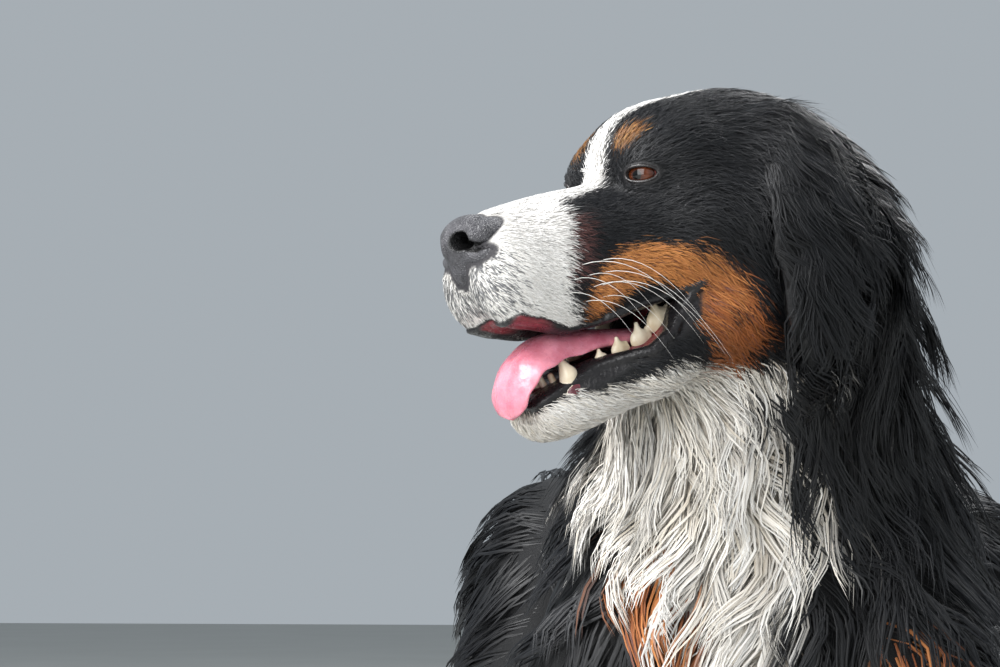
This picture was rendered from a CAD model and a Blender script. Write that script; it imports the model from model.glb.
"""The looks of a life-size Bernese mountain dog, lying with its head up and turned to its right.

Metres, in the frame of the solids: +X is the way the body points, +Y the dog's left, +Z up, and the
floor is z = 0. The head has a frame of its own, with its origin midway between the eyes.
"""

import math
from collections import namedtuple

import bmesh
import bpy
import numpy as np
from mathutils import Matrix, Vector
from mathutils.kdtree import KDTree


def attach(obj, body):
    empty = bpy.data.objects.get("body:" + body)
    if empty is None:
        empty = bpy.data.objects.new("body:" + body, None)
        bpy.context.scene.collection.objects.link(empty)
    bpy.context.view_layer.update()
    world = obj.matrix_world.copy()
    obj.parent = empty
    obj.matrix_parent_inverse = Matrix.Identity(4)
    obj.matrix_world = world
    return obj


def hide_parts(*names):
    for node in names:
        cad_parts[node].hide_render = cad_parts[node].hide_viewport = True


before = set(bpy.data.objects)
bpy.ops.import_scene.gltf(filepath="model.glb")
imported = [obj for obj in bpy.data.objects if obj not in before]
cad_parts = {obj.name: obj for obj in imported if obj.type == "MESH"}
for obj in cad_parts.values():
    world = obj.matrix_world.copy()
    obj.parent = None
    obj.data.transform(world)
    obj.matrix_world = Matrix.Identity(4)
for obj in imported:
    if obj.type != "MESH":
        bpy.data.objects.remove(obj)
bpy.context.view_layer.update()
dice = np.random.default_rng(5)


def rotation(degrees, axis):
    return Matrix.Rotation(math.radians(degrees), 3, axis)


# Driving dimensions, with angles in degrees
HEAD_PLACE = np.array((0.332, -0.078, 0.485))
HEAD_YAW = -50
HEAD_PITCH = 15
HEAD_ROTATION = rotation(HEAD_YAW, "Z") @ rotation(HEAD_PITCH, "Y")
HEAD_TURN = np.array(HEAD_ROTATION)
HEAD_MATRIX = Matrix.Translation(HEAD_PLACE) @ HEAD_ROTATION.to_4x4()
MM = 0.001
EYE_CENTRE = np.array((-0.009, 0.033, -0.001))
EYE_RADIUS = 0.0118
LID_RADIUS = 0.0146
LID_TURN = (-8, -4, 38)
SOLE = 0.0006
FINE = 1.0
BODY_CELL = 0.0055 * FINE
HEAD_CELL = 0.0015 * FINE
COAT_CELL = 0.0065
COAT_REACH = 0.05
COAT_SHARE = 1.0
SIDES = (("left", 1), ("right", -1))

# Kinds of coat: length, half width, height over the skin, hairs a square centimetre, wave, waves
# along the hair, and how far the hairs of a lock draw together at their tips
COATS = {
    "face": (0.0058, 0.00027, 0.0011, 80, 0.0002, 0.5, 0),
    "crown": (0.0095, 0.00031, 0.0019, 58, 0.0004, 0.5, 0),
    "cheek": (0.0125, 0.00037, 0.0032, 44, 0.0006, 0.6, 0),
    "chin": (0.0095, 0.00033, 0.002, 54, 0.0006, 0.6, 0),
    "ear": (0.072, 0.00056, 0.01, 6.9, 0.0085, 1.0, 0.84),
    "mane": (0.085, 0.00066, 0.034, 3.3, 0.0065, 0.9, 0.8),
    "bib": (0.074, 0.00074, 0.029, 5.3, 0.0095, 0.9, 0.72),
    "trunk": (0.08, 0.0012, 0.023, 1.7, 0.005, 0.9, 0.76),
    "haunch": (0.07, 0.0012, 0.019, 1.7, 0.004, 0.9, 0.76),
    "tail": (0.095, 0.0011, 0.026, 2.4, 0.0045, 0.9, 0.78),
    "leg": (0.027, 0.0009, 0.008, 3.4, 0.001, 0.5, 0),
    "paw": (0.014, 0.00065, 0.0038, 7.0, 0.0004, 0.5, 0),
}
LENGTH, WIDTH, HEIGHT, DENSITY, WAVE, WAVES, PINCH = range(7)
# Pieces of the coat: the kinds in each, and the steps along a hair
GROUPS = {
    "short": (("face", "crown", "cheek", "chin"), 2),
    "leg": (("leg", "paw"), 2),
    "trunk": (("trunk", "haunch", "tail"), 4),
    "neck": (("mane", "bib"), 6),
    "ear": (("ear",), 6),
}
LOCK_SHARE = 0.065
SHORTEST_LOCKED = 4

BLACK = (0.004, 0.0044, 0.006)
WHITE = (0.84, 0.81, 0.77)
CREAM = (0.66, 0.58, 0.47)
TAN = (0.56, 0.225, 0.065)
RUST = (0.31, 0.092, 0.024)
BROWN = (0.115, 0.045, 0.04)
GREY = (0.17, 0.17, 0.175)
PINK = (0.48, 0.2, 0.17)

# The hips lie over to the dog's right: how far across for each metre back, and from where
REAR_SWING = 0.22
REAR_SWING_START = -0.1


def swing(x):
    return REAR_SWING * np.maximum(0.0, REAR_SWING_START - x)


def swung(place):
    return np.array((place[0], place[1] - swing(place[0]), place[2]))


# Masses of flesh, as in the solids but without the coat
Mass = namedtuple("Mass", "start end radii turn coat lie blend")


def turned(degrees):
    """Axes turned about x, then y, then z."""
    x, y, z = degrees
    return np.array(rotation(z, "Z") @ rotation(y, "Y") @ rotation(x, "X"))


def ball(coat, centre, radii, turn=(0, 0, 0), lie=(-1, 0, 0), blend=0.012):
    centre = np.array(centre, float)
    return Mass(centre, centre, np.array(radii), turned(turn), coat, np.array(lie, float), blend)


def limb(coat, start, end, first, last, lie=(-1, 0, 0), blend=0.012):
    return Mass(np.array(start, float), np.array(end, float), np.array((first, last)), np.eye(3), coat,
                np.array(lie, float), blend)


def chain(coat, stations, blend=0.012):
    """Limbs that join places one after another, with the radius given at each."""
    return [limb(coat, start, end, first, last, blend=blend)
            for (start, first), (end, last) in zip(stations, stations[1:])]


def mirrored(turn, sign):
    """Axes as they are on the left side, 1, or the right side, -1."""
    flip = np.array((1, sign, 1))
    return turn * flip[:, None] * flip


def both_sides(masses):
    flip = np.array((1, -1, 1))
    return masses + [m._replace(start=m.start * flip, end=m.end * flip, lie=m.lie * flip,
                                turn=mirrored(m.turn, -1)) for m in masses]


def on_head(masses):
    return [m._replace(start=to_world(m.start), end=to_world(m.end), lie=HEAD_TURN @ m.lie,
                       turn=HEAD_TURN @ m.turn) for m in masses]


def to_world(points):
    return np.asarray(points) @ HEAD_TURN.T + HEAD_PLACE


def to_head(points):
    return (np.asarray(points) - HEAD_PLACE) @ HEAD_TURN


def distance(mass, points):
    """Distance from a mass, negative inside it."""
    if len(mass.radii) == 3:
        local = (points - mass.start) @ mass.turn
        near = np.linalg.norm(local / mass.radii, axis=-1)
        steep = np.linalg.norm(local / mass.radii ** 2, axis=-1)
        return near * (near - 1) / np.maximum(steep, 1e-6)
    along = mass.end - mass.start
    share = np.clip((points - mass.start) @ along / (along @ along), 0, 1)
    out = np.linalg.norm(points - mass.start - share[..., None] * along, axis=-1)
    return out - (mass.radii[0] + share * (mass.radii[1] - mass.radii[0]))


def soft_min(a, b, blend):
    """The lesser of two distances, with the edge between them rounded."""
    near = np.maximum(blend - np.abs(a - b), 0)
    return np.minimum(a, b) - near * near / (4 * blend)


def soft_max(a, b, blend):
    return -soft_min(-a, -b, blend)


def union(masses, points):
    total = np.full(points.shape[:-1], 1.0)
    for mass in masses:
        total = soft_min(total, distance(mass, points), mass.blend)
    return total


# Body masses
DOWN = np.array((0, 0, -1.0))
NECK_TOP = to_world((-0.105, 0, -0.045))
THROAT_TOP = to_world((-0.064, 0, -0.088))
MANE_TOPS = [to_world(p) for p in ((-0.112, 0.03, -0.085), (-0.105, -0.022, -0.08))]


def neck_limb(coat, base, top, first, last, fall=0.6):
    down_neck = np.array(base) - top
    lie = 0.7 * down_neck / np.linalg.norm(down_neck) + fall * DOWN
    return limb(coat, base, top, first, last, lie)


TRUNK = [mass._replace(blend=0.03) for mass in (
    ball("trunk", (0.03, 0, 0.165), (0.2, 0.116, 0.16), lie=(-1, 0, -0.8)),
    ball("trunk", (0.06, 0, 0.265), (0.11, 0.07, 0.088), lie=(-1, 0, -0.6)),
    ball("trunk", (-0.19, 0, 0.18), (0.18, 0.112, 0.132), lie=(-1, 0, -0.7)),
    ball("trunk", (-0.2, 0, 0.11), (0.17, 0.118, 0.112), lie=(-1, 0, -0.6)),
    ball("trunk", (-0.33, 0, 0.203), (0.115, 0.115, 0.118), lie=(-1, 0, -0.6)),
    ball("bib", (0.185, 0, 0.19), (0.085, 0.092, 0.13), lie=(0.1, 0.1, -1)),
    ball("bib", (0.15, 0, 0.105), (0.105, 0.092, 0.105), lie=(0.1, 0, -1)),
    neck_limb("mane", (0.115, 0, 0.262), NECK_TOP, 0.096, 0.064),
    neck_limb("bib", (0.172, 0, 0.235), THROAT_TOP, 0.086, 0.044, 1.2),
    neck_limb("mane", (0.115, 0.03, 0.255), MANE_TOPS[0], 0.088, 0.046, 0.9),
    neck_limb("mane", (0.11, -0.018, 0.25), MANE_TOPS[1], 0.078, 0.044, 0.9),
)]
TOE_RADII = (0.023, 0.0085, 0.015)
TOE_PLACES = (-1.0, -1 / 3, 1 / 3, 1.0)
TOE_SPREAD = 0.028
TOE_SET_BACK = 0.016
PAW_FRONTS = (np.array((0.4, 0.131, 0.019)), np.array((-0.124, 0.22, 0.019)))


def toe_centres(front):
    return [front + np.array((-TOE_SET_BACK * a * a, TOE_SPREAD * a, 0)) for a in TOE_PLACES]


LEGS = [
    ball("trunk", (0.125, 0.082, 0.205), (0.105, 0.046, 0.12), (0, 20, 0), (-0.6, 0, -0.9), 0.03),
    limb("haunch", (0.19, 0.094, 0.18), (0.072, 0.134, 0.07), 0.05, 0.044, (-0.6, 0.1, -0.8), 0.03),
    limb("leg", (0.072, 0.138, 0.056), (0.305, 0.132, 0.038), 0.046, 0.029, (1, 0, -0.3), 0.02),
    limb("paw", (0.305, 0.132, 0.038), (0.366, 0.131, 0.03), 0.032, 0.034, (1, 0, -0.3), 0.012),
    ball("haunch", (-0.275, 0.155, 0.184), (0.145, 0.078, 0.15), (0, -18, 0), (-0.9, 0.1, -0.7), 0.03),
    limb("haunch", (-0.33, 0.1, 0.205), (-0.155, 0.185, 0.13), 0.095, 0.06, (-0.9, 0, -0.7), 0.03),
    limb("haunch", (-0.155, 0.19, 0.12), (-0.37, 0.205, 0.068), 0.062, 0.04, (-1, 0, -0.5), 0.03),
    limb("leg", (-0.38, 0.208, 0.045), (-0.205, 0.218, 0.034), 0.038, 0.029, (1, 0, -0.3), 0.02),
    limb("paw", (-0.205, 0.218, 0.034), (-0.156, 0.22, 0.029), 0.03, 0.032, (1, 0, -0.3), 0.012),
]
for front in PAW_FRONTS:
    LEGS += [ball("paw", centre, TOE_RADII, lie=(1, 0, -0.5), blend=0.004) for centre in toe_centres(front)]
TAIL_PATH = [swung(p) for p in ((-0.4, 0.0, 0.19), (-0.475, 0.0, 0.12), (-0.545, 0.02, 0.068),
                                (-0.62, 0.06, 0.052), (-0.675, 0.13, 0.05), (-0.7, 0.21, 0.046))]
TAIL_RADII = (0.045, 0.038, 0.032, 0.028, 0.024, 0.018)
TAIL = [limb("tail", a, b, ra, rb, np.subtract(b, a), 0.02)
        for a, b, ra, rb in zip(TAIL_PATH, TAIL_PATH[1:], TAIL_RADII, TAIL_RADII[1:])]
BODY = [m._replace(start=swung(m.start), end=swung(m.end)) for m in TRUNK + both_sides(LEGS)] + TAIL

# Head masses, in the head's own frame
SKULL = [
    ball("crown", (-0.07, 0, -0.012), (0.072, 0.064, 0.053), lie=(-1, 0, -0.1)),
    ball("crown", (-0.036, 0, 0.005), (0.04, 0.046, 0.034), lie=(-1, 0, 0.2)),
    limb("face", (0, 0, -0.022), (0.09, 0, -0.021), 0.0225, 0.019),
    ball("face", (0.048, 0, -0.036), (0.062, 0.036, 0.032), lie=(-1, 0, -0.3)),
    ball("cheek", (-0.06, 0, -0.06), (0.06, 0.055, 0.05), lie=(-1, 0, -0.5)),
    ball("chin", (0.022, 0, -0.114), (0.066, 0.026, 0.016), (0, 17, 0), (-1, 0, -0.5)),
    ball("cheek", (-0.045, 0, -0.098), (0.05, 0.046, 0.034), lie=(-0.8, 0, -0.9)),
]
SKULL_PAIRS = [
    ball("crown", (-0.018, 0.026, 0.01), (0.018, 0.019, 0.014), lie=(-1, 0.5, 0.4), blend=0.008),
    ball("crown", (-0.038, 0.038, 0.0), (0.03, 0.019, 0.022), lie=(-1, 0.2, 0.1)),
    ball("cheek", (-0.052, 0.043, -0.04), (0.048, 0.03, 0.036), lie=(-1, 0, -0.35)),
    ball("cheek", (-0.062, 0.038, -0.072), (0.044, 0.03, 0.042), lie=(-1, 0, -0.6)),
    ball("crown", (-0.088, 0.049, -0.008), (0.028, 0.019, 0.024), lie=(-0.8, 0.4, -0.6)),
    limb("face", (-0.02, 0.031, -0.032), (0.04, 0.019, -0.03), 0.024, 0.02, lie=(-1, 0.1, -0.2)),
    limb("face", (-0.022, 0.032, -0.052), (0.03, 0.027, -0.058), 0.024, 0.019, lie=(-1, 0.1, -0.4)),
    ball("face", (0.058, 0.022, -0.047), (0.05, 0.018, 0.032), lie=(-1, 0.2, -0.8)),
    ball("face", (0.086, 0.015, -0.04), (0.022, 0.018, 0.029), lie=(-0.6, 0.3, -1)),
    ball("face", EYE_CENTRE, (LID_RADIUS,) * 3, lie=(-1, 0.3, -0.1), blend=0.005),
    limb("cheek", (-0.048, 0.036, -0.084), (0.015, 0.03, -0.108), 0.026, 0.018, lie=(-1, 0, -0.6)),
    limb("chin", (0.015, 0.03, -0.108), (0.078, 0.011, -0.122), 0.018, 0.013, lie=(-1, 0, -0.5)),
]
LOWER_LIP = [((0.078, 0.012, -0.1165), 0.006), ((0.054, 0.022, -0.1105), 0.0085),
             ((0.024, 0.031, -0.1065), 0.01), ((0.005, 0.038, -0.0975), 0.009),
             ((-0.008, 0.041, -0.085), 0.008), ((-0.0155, 0.043, -0.074), 0.0055)]
UPPER_LIP = [((-0.016, 0.0425, -0.0725), 0.005), ((-0.005, 0.039, -0.0685), 0.0052),
             ((0.008, 0.036, -0.07), 0.0048), ((0.022, 0.035, -0.0745), 0.0036),
             ((0.04, 0.034, -0.079), 0.0024)]
LIP_PAIRS = chain("chin", LOWER_LIP, 0.003) + chain("chin", UPPER_LIP, 0.003)
# Stations down an ear: place, half width and half thickness
EAR = [
    ((-0.101, 0.061, -0.003), 0.02, 0.006),
    ((-0.097, 0.075, -0.018), 0.027, 0.0055),
    ((-0.091, 0.082, -0.042), 0.033, 0.005),
    ((-0.084, 0.085, -0.068), 0.036, 0.0045),
    ((-0.075, 0.084, -0.098), 0.026, 0.004),
    ((-0.07, 0.083, -0.114), 0.014, 0.003),
]
EAR_CLEARANCE = 0.009
EAR_DEPTH = 0.024
DRAPING_ROUNDS = 4


def steepest(field, point, step=0.001):
    rise = np.array([field(point + step * axis) - field(point - step * axis) for axis in np.eye(3)])
    return unit(rise)


def unit(vectors):
    return vectors / np.maximum(np.linalg.norm(vectors, axis=-1, keepdims=True), 1e-12)


def ear_masses(sign):
    """Flat overlapping balls down an ear, draped over the coat below it."""
    places = []
    for (x, y, z), _, half_thickness in EAR:
        place = to_world((x, sign * y, z))
        for _ in range(DRAPING_ROUNDS):
            lack = half_thickness + EAR_CLEARANCE - union(TRUNK, place)
            if lack > 0:
                place = place + lack * steepest(lambda p: union(TRUNK, p), place)
        places.append(place)
    across = HEAD_TURN[:, 0]
    made = []
    for number, (_, half_width, half_thickness) in enumerate(EAR):
        along = unit(places[min(number + 1, len(EAR) - 1)] - places[max(number - 1, 0)])
        over = unit(np.cross(along, across))
        turn = np.column_stack((np.cross(over, along), over, along))
        radii = np.array((half_width, half_thickness, EAR_DEPTH))
        lie = 0.9 * DOWN + 0.25 * along - 0.25 * across
        made.append(Mass(places[number], places[number], radii, turn, "ear", lie, 0.01))
    return made


HEAD = on_head(SKULL + both_sides(SKULL_PAIRS))
LIPS = on_head(both_sides(LIP_PAIRS))
EARS = ear_masses(1) + ear_masses(-1)
ALL = BODY + HEAD + EARS

# Side view of the open mouth, in the head's frame
MOUTH_GAP = np.array([
    (-0.017, -0.07), (0.022, -0.0765), (0.049, -0.0815), (0.07, -0.08), (0.088, -0.075),
    (0.096, -0.0715), (0.103, -0.07), (0.13, -0.07), (0.13, -0.124), (0.096, -0.118),
    (0.07, -0.108), (0.054, -0.1015), (0.024, -0.101), (0.008, -0.093), (-0.006, -0.078),
])
MOUTH_HOLLOW = chain("face", [((-0.006, 0, -0.078), 0.014), ((0.042, 0, -0.082), 0.022),
                              ((0.08, 0, -0.092), 0.018)])
# How far the gap is lifted in front, on the left and on the right, and where the lift fades
LEFT_LIFT = 0.0052
RIGHT_LIFT = 0.0026
LIFT_ACROSS = (-0.016, -0.005)
LIFT_START = (0.064, 0.082)
LIFT_END = (0.105, 0.098)
LIFT_FOOT = (-0.1, -0.085)


def outline_distance(points, outline):
    """Distance of 2-D points from a closed outline, negative inside it."""
    ends = np.roll(outline, -1, axis=0)
    best = np.full(len(points), np.inf)
    inside = np.zeros(len(points), bool)
    for (ax, ay), (bx, by) in zip(outline, ends):
        ex, ey = bx - ax, by - ay
        wx, wy = points[:, 0] - ax, points[:, 1] - ay
        share = np.clip((wx * ex + wy * ey) / (ex * ex + ey * ey), 0, 1)
        best = np.minimum(best, np.hypot(wx - share * ex, wy - share * ey))
        crosses = (ay > points[:, 1]) != (by > points[:, 1])
        if ey:
            inside ^= crosses & (wx < ex * wy / ey)
    return np.where(inside, -best, best)


def ramped(values, first, last):
    """0 up to the first value and 1 from the last, with an even change between."""
    return np.clip((values - first) / (last - first), 0, 1)


def mouth_distance(local):
    """Distance from the open mouth and the hollow inside it, for points in the head's frame.

    In front the gap reaches higher on the left than on the right, so that the lip shows its inner side.
    """
    x, y, z = local.T
    lift = RIGHT_LIFT + (LEFT_LIFT - RIGHT_LIFT) * ramped(y, *LIFT_ACROSS)
    lift = lift * ramped(x, *LIFT_START) * ramped(x, *LIFT_END) * ramped(z, *LIFT_FOOT)
    gap = outline_distance(np.stack((x, z - lift), axis=1), MOUTH_GAP)
    return soft_min(gap, union(MOUTH_HOLLOW, local), 0.004)


# The lids' opening: an almond before the eye
ALMOND = np.array((0.0065, 0.0108, 0.0045))
ALMOND_OUT = EYE_RADIUS + 0.0015
EYE_ROOM = 0.0002


def lid_axes(sign):
    return mirrored(turned(LID_TURN), sign)


def eye_opening(local, sign):
    """Distance from the eye's room and the opening between its lids, in the head's frame."""
    centre = EYE_CENTRE * (1, sign, 1)
    turn = lid_axes(sign)
    room = np.linalg.norm(local - centre, axis=-1) - EYE_RADIUS - EYE_ROOM
    slit = Mass(centre + turn[:, 0] * ALMOND_OUT, centre, ALMOND, turn, "", DOWN, 0)
    return np.minimum(room, distance(slit, local))


# Grids of distances, and the skins drawn from them
CORNERS = [(i, j, k) for i in (0, 1) for j in (0, 1) for k in (0, 1)]


class Grid:
    def __init__(self, low, high, cell, turn=np.eye(3), place=np.zeros(3)):
        self.low = np.array(low, float)
        self.cell = cell
        self.turn = turn
        self.place = place
        self.count = np.ceil((np.array(high) - self.low) / cell).astype(int) + 1
        self.values = np.full(self.count, COAT_REACH, np.float32)

    def local(self, box=None):
        box = box or [(0, n) for n in self.count]
        axes = [self.low[a] + self.cell * np.arange(*box[a]) for a in range(3)]
        return np.stack(np.meshgrid(*axes, indexing="ij"), axis=-1)

    def add(self, mass, reach):
        """Blend a mass in, where it comes within reach."""
        ends = (np.array((mass.start, mass.end)) - self.place) @ self.turn
        size = mass.radii.max() + reach
        first = np.floor((ends.min(axis=0) - size - self.low) / self.cell).astype(int)
        last = np.ceil((ends.max(axis=0) + size - self.low) / self.cell).astype(int)
        first = np.clip(first, 0, self.count)
        last = np.clip(last, 0, self.count)
        if (last <= first).any():
            return
        box = list(zip(first, last))
        points = self.local(box) @ self.turn.T + self.place
        where = tuple(slice(*pair) for pair in box)
        self.values[where] = soft_min(self.values[where], distance(mass, points), mass.blend)

    def at(self, points):
        """Values at points by interpolation."""
        local = ((points - self.place) @ self.turn - self.low) / self.cell
        local = np.clip(local, 0, self.count - 1.001)
        base = local.astype(int)
        share = local - base
        shares = ((1 - share).T, share.T)
        total = np.zeros(len(points))
        for i, j, k in CORNERS:
            weight = shares[i][0] * shares[j][1] * shares[k][2]
            total += weight * self.values[base[:, 0] + i, base[:, 1] + j, base[:, 2] + k]
        return total

    def slope(self, points, step=0.004):
        """Unit directions away from the skin."""
        return unit(np.stack([self.at(points + step * axis) - self.at(points - step * axis)
                              for axis in np.eye(3)], axis=-1))

    def skin(self):
        """Points and quads of the surface where the values pass zero."""
        values = self.values
        inside = values < 0
        shape = self.count - 1
        held = sum(inside[tuple(slice(c, c + n) for c, n in zip(corner, shape))].astype(np.int8)
                   for corner in CORNERS)
        cells = np.argwhere((held > 0) & (held < len(CORNERS)))
        number = np.full(shape, -1)
        number[tuple(cells.T)] = np.arange(len(cells))
        total = np.zeros((len(cells), 3))
        hits = np.zeros(len(cells))
        axes = np.eye(3, dtype=int)
        for a in CORNERS:
            for along in axes[np.array(a) == 0]:
                first = values[tuple((cells + a).T)]
                second = values[tuple((cells + a + along).T)]
                cross = (first < 0) != (second < 0)
                share = first[cross] / (first[cross] - second[cross])
                total[cross] += np.array(a) + share[:, None] * along
                hits += cross
        points = self.low + self.cell * (cells + total / hits[:, None])
        quads = []
        for axis in range(3):
            along, u, v = np.roll(axes, -axis, axis=0)
            low = inside[tuple(slice(0, n) for n in self.count - along)]
            high = inside[tuple(slice(c, None) for c in along)]
            edges = np.argwhere(low != high)
            edges = edges[(edges @ u > 0) & (edges @ v > 0) & (edges < shape).all(axis=1)]
            flip = ~low[tuple(edges.T)]
            quad = np.stack([number[tuple((edges - back).T)] for back in (0 * u, u, u + v, v)], axis=1)
            quad[flip] = quad[flip][:, ::-1]
            quads.append(quad[(quad >= 0).all(axis=1)])
        return points @ self.turn.T + self.place, np.concatenate(quads)


def body_grid(masses, cell, reach):
    return filled(Grid((-0.8, -0.34, -0.02), (0.49, 0.34, 0.6), cell), masses, reach)


def filled(grid, masses, reach):
    for mass in masses:
        grid.add(mass, reach)
    return grid


HEAD_LOW = np.array((-0.15, -0.125, -0.16))
HEAD_HIGH = np.array((0.12, 0.125, 0.062))
# The head's skin and the body's cross at the sides of the head's box
SEAM_DEPTH = 0.006
SEAM_INSET = 0.004
NEAR_SKIN = 0.03
NOSE_BED = 0.0015
LIP_LINE = -0.0835
LIP_ROLLS = (0.0026, 0.003)
LIP_CLEARANCE = 0.002


def head_skin():
    """The head's skin with the mouth, the eyes' rooms and the nose's bed cut into it, and rolled lips."""
    grid = Grid(HEAD_LOW, HEAD_HIGH, HEAD_CELL, HEAD_TURN, HEAD_PLACE)
    for mass in TRUNK + HEAD + EARS:
        grid.add(mass, mass.blend + 3 * HEAD_CELL)
    values = grid.values.ravel()
    near = np.flatnonzero(np.abs(values) < NEAR_SKIN)
    whole = values[near].astype(float)
    spots = grid.local().reshape(-1, 3)[near]
    mouth = mouth_distance(spots)
    roll = np.hypot(whole, mouth) - np.where(spots[:, 2] > LIP_LINE, *LIP_ROLLS)
    carved = soft_min(soft_max(whole, -mouth, 0.003), roll, 0.002)
    lips = np.maximum(union(LIPS, to_world(spots)), LIP_CLEARANCE - mouth)
    carved = soft_min(carved, lips, 0.004)
    for _, sign in SIDES:
        carved = soft_max(carved, -eye_opening(spots, sign), 0.0012)
    values[near] = np.maximum(carved, -NOSE_BED - union(NOSE, spots))
    grid.values = values.reshape(grid.count)
    for axis in range(3):
        side = [slice(None)] * 3
        side[axis] = [0, -1]
        grid.values[tuple(side)] = HEAD_CELL
    return grid.skin()


def body_skin():
    grid = body_grid(BODY, BODY_CELL, 0.03 + 3 * BODY_CELL)
    local = to_head(grid.local())
    depth = np.minimum(local - HEAD_LOW, HEAD_HIGH - local).min(axis=-1)
    grid.values += (SEAM_INSET * np.clip(depth / SEAM_DEPTH, 0, 1)).astype(np.float32)
    return grid.skin()


# Markings
def step(values, edge, soft):
    """0 below the edge and 1 above it, with a soft change between."""
    share = np.clip((values - edge) / (2 * soft) + 0.5, 0, 1)
    return share * share * (3 - 2 * share)


def mixed(base, over, share):
    return base + (np.asarray(over) - base) * share[:, None]


# Markings on the head in millimetres: outlines in side view, and values for places along x or z
CHEEK_RUST = np.array([
    (40, -48), (31, -44), (19, -41), (6, -43), (-14, -51), (-28, -58), (-36, -66), (-42, -79), (-47, -90),
    (-52, -105), (-46, -118), (-40, -131), (-18, -122), (-15, -106), (-13, -91), (-10, -80), (-6, -71),
    (2, -65), (14, -62), (25, -63), (38, -69), (50, -77), (54, -68), (47, -55),
])
MOLE = (-35, -91)
MOLE_RADIUS = 4.5
MUZZLE_EDGE = ((-90, -66, -56, -50, -40, -29, -20, -9, 1, 20), (52, 62, 65, 63, 59, 55, 52, 48, 43, 38))
BLAZE = ((-95, -80, -65, -50, -38, -25, -13, -3, 4, 17, 33), (0, 6, 11, 12, 12, 9, 7.5, 8.5, 9, 13, 20))
JAW_WHITE = ((-60, -40, -15, 3, 23, 53, 80), (-136, -130, -123, -114, -116, -119, -116))
BROW = (-9.8, 24, 22.5)
BROW_RADIUS = 9.6
BROW_SHADE = (0.62, 0.78, 0.7)
PINK_SPOT = (80, 19, -21)
# Markings on the body in metres: the bib's edges by height, stripes with their half widths, and where
# the rust and the white of the legs, the breech and the tail begin
BIB_FRONT = ((0.1, 0.235, 0.417), (0.105, 0.157, 0.263))
BIB_RIGHT = ((0.06, 0.14, 0.188, 0.205, 0.224, 0.242, 0.269, 0.303, 0.341, 0.42),
             (0.004, 0.0, -0.006, -0.02, -0.036, -0.058, -0.084, -0.094, -0.12, -0.15))
BIB_LEFT = ((0.06, 0.14, 0.2, 0.242, 0.26, 0.279, 0.297, 0.328, 0.363, 0.42),
            (0.02, 0.02, 0.024, 0.028, 0.034, 0.042, 0.028, 0.006, -0.003, -0.03))
CHEST_RUST = [((-0.064, 0.24), (-0.022, 0.188), 0.015), ((0.095, 0.172), (0.125, 0.135), 0.016)]
FORELEG_OUT = 0.085
FORELEG_TOP = 0.105
ELBOW = 0.13
FORE_SOCK = 0.315
HIND_OUT = 0.13
HIND_TOP = 0.085
HIND_SOCK = -0.185
BREECH = -0.395
BREECH_TOP = 0.16
RUMP_END = -0.47
TAIL_END = -0.62
TAIL_SOCK = 0.165


def rusty(share):
    """Rust from its lightest to its darkest, with every hair a little different."""
    share = np.clip(share + dice.normal(0, 0.3, len(share)), 0, 1)
    colours = mixed(np.tile(np.array(TAN), (len(share), 1)), RUST, share)
    return mixed(colours, BROWN, 0.8 * (dice.random(len(share)) < 0.07))


def creamy(points, share):
    """White with a beige cast that comes and goes over the chest."""
    x, y, z = points.T
    cast = np.sin(95 * y + 31 * z) * np.sin(83 * z - 27 * x + 1) * 0.5 + 0.5
    cast = np.clip(share * (0.4 + cast) + dice.normal(0, 0.18, len(points)), 0, 1)
    return mixed(np.tile(np.array(WHITE), (len(points), 1)), CREAM, cast)


def body_colours(points, colours):
    x, y, z = points.T
    y = y + swing(x)
    ay = np.abs(y)
    rust = rusty(np.full(len(points), 0.85))
    for *stripe, half in CHEST_RUST:
        near = step(half, outline_distance(np.stack((y, z), axis=1), np.array(stripe)), 0.005)
        colours = mixed(colours, rust, near * step(x, 0.14, 0.02))
    bib = step(y, np.interp(z, *BIB_RIGHT), 0.007) * step(np.interp(z, *BIB_LEFT), y, 0.007)
    foreleg = step(ay, FORELEG_OUT, 0.01) * step(FORELEG_TOP, z, 0.01)
    rust_top = FORELEG_TOP - 0.02 * step(0.2, x, 0.05)
    hind = step(ay, HIND_OUT, 0.02) * step(-0.05, x, 0.02) * step(HIND_TOP, z, 0.012)
    hind *= step(x, RUMP_END, 0.01)
    breech = step(BREECH, x, 0.012) * step(x, RUMP_END, 0.02) * step(ay, 0.07, 0.02)
    breech *= step(BREECH_TOP, z, 0.02)
    for colour, share in (
            (creamy(points, 0.45), bib * step(x, np.interp(z, *BIB_FRONT), 0.01)),
            (rust, foreleg * step(x, ELBOW, 0.03) * step(rust_top, z, 0.01)),
            (WHITE, foreleg * step(x, FORE_SOCK, 0.012)),
            (rust, hind),
            (WHITE, hind * step(x, HIND_SOCK, 0.012)),
            (rust, breech),
            (WHITE, step(y, TAIL_SOCK, 0.012) * step(TAIL_END, x, 0.01))):
        colours = mixed(colours, colour, share)
    return colours


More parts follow.
